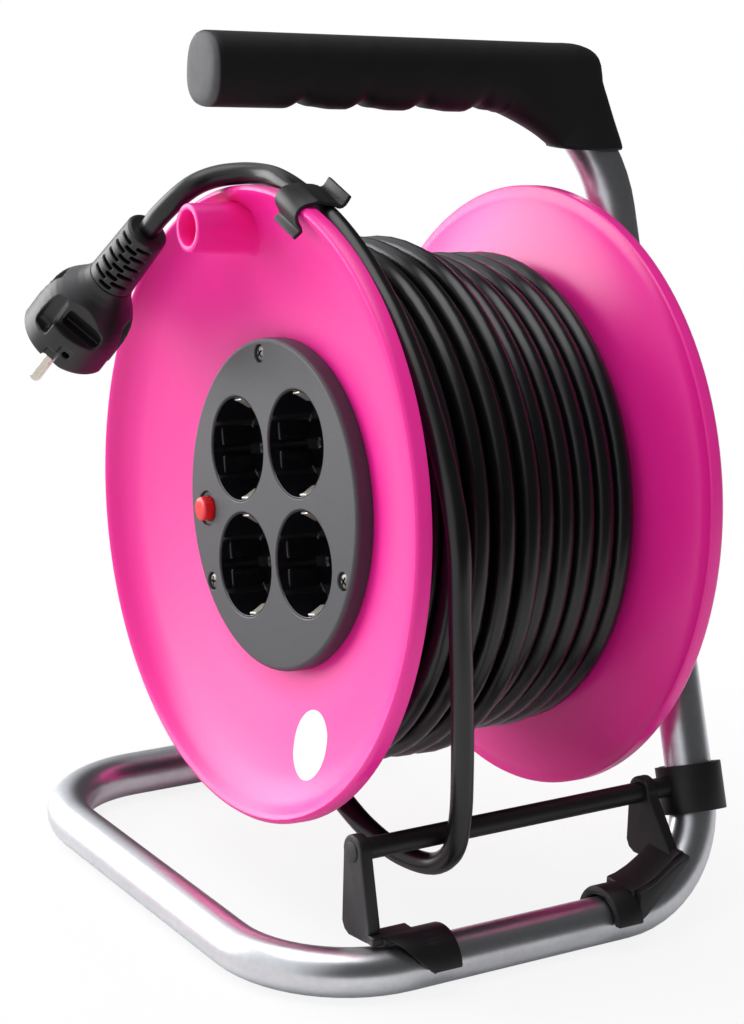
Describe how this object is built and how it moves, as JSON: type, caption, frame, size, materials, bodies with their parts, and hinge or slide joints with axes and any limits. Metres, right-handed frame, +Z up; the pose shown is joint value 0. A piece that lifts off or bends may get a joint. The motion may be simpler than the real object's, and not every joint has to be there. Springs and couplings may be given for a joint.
{
  "type": "extension cord reel",
  "caption": "Portable mains cord reel: a flanged drum with earthed sockets and a reset button turns on an axle in a bent tube stand with a carrying grip and a cord guide.",
  "frame": {"origin": "on the floor, under the middle of the reel's box without its free cord", "axes": "+Z up, -Y the socket side, +X to the right seen from the socket side, where the upright stands"},
  "size_m": [0.2478, 0.2152, 0.3296],
  "materials": {
    "pink_plastic": "satin gloss moulded plastic, hot pink",
    "zinc_steel": "zinc plated steel, satin, fine marks along the tube",
    "grey_plastic": "satin mid grey moulded plastic with faint scratches",
    "socket_black": "glossy black moulded plastic",
    "nickel": "bright nickel plate",
    "brass": "plain strip",
    "black_plastic": "fine textured black moulded plastic",
    "red_plastic": "glossy red moulded plastic",
    "grip_rubber": "matte black, fine grain",
    "cord_jacket": "satin black cord jacket",
    "natural_plastic": "natural moulded plastic"
  },
  "bodies": {
    "stand": {"frame_tube": "zinc_steel", "tube_end_plug": "black_plastic", "handle_grip": "grip_rubber", "cable_guide": "black_plastic", "axle_bracket": "zinc_steel", "axle_pin": "zinc_steel", "axle_washer": "zinc_steel", "axle_nut": "zinc_steel", "bracket_bolt_lower": "zinc_steel", "bracket_bolt_upper": "zinc_steel", "bracket_nut_lower": "zinc_steel", "bracket_nut_upper": "zinc_steel", "cord_loop": "cord_jacket"},
    "drum": {"front_flange": "pink_plastic", "rear_flange": "pink_plastic", "drum_barrel": "pink_plastic", "rear_screw_1": "zinc_steel", "rear_screw_2": "zinc_steel", "rear_screw_3": "zinc_steel", "bearing_bush": "natural_plastic", "socket_cover": "grey_plastic", "socket_insert_1": "socket_black", "earth_clip_1": "nickel", "socket_insert_2": "socket_black", "earth_clip_2": "nickel", "socket_insert_3": "socket_black", "earth_clip_3": "nickel", "socket_insert_4": "socket_black", "earth_clip_4": "nickel", "line_busbar": "brass", "neutral_busbar": "brass", "earth_busbar": "brass", "thermal_cutout": "black_plastic", "cover_screw_1": "zinc_steel", "cover_screw_2": "zinc_steel", "cover_screw_3": "zinc_steel", "terminal_block": "natural_plastic", "cord_gland": "black_plastic", "cord_core": "cord_jacket", "cable_clip": "black_plastic", "cord_winding": "cord_jacket", "cord_tail": "cord_jacket", "plug_body": "black_plastic", "plug_relief": "grip_rubber", "plug_pin_1": "nickel", "plug_earth_strip_1": "nickel", "plug_pin_2": "nickel", "plug_earth_strip_2": "nickel"},
    "button": {"reset_button": "red_plastic"}
  },
  "joints": [
    {"name": "drum_spin", "type": "hinge", "parent": "stand", "child": "drum", "pos_m": [-0.00157, -0.0606, 0.154], "axis": [0, 0.9991, -0.0419], "continuous": true, "deforming": ["cord_loop"]},
    {"name": "reset_press", "type": "slide", "parent": "drum", "child": "button", "axis": [0, -0.9991, 0.0419], "range_m": [0, 0.003]}
  ]
}
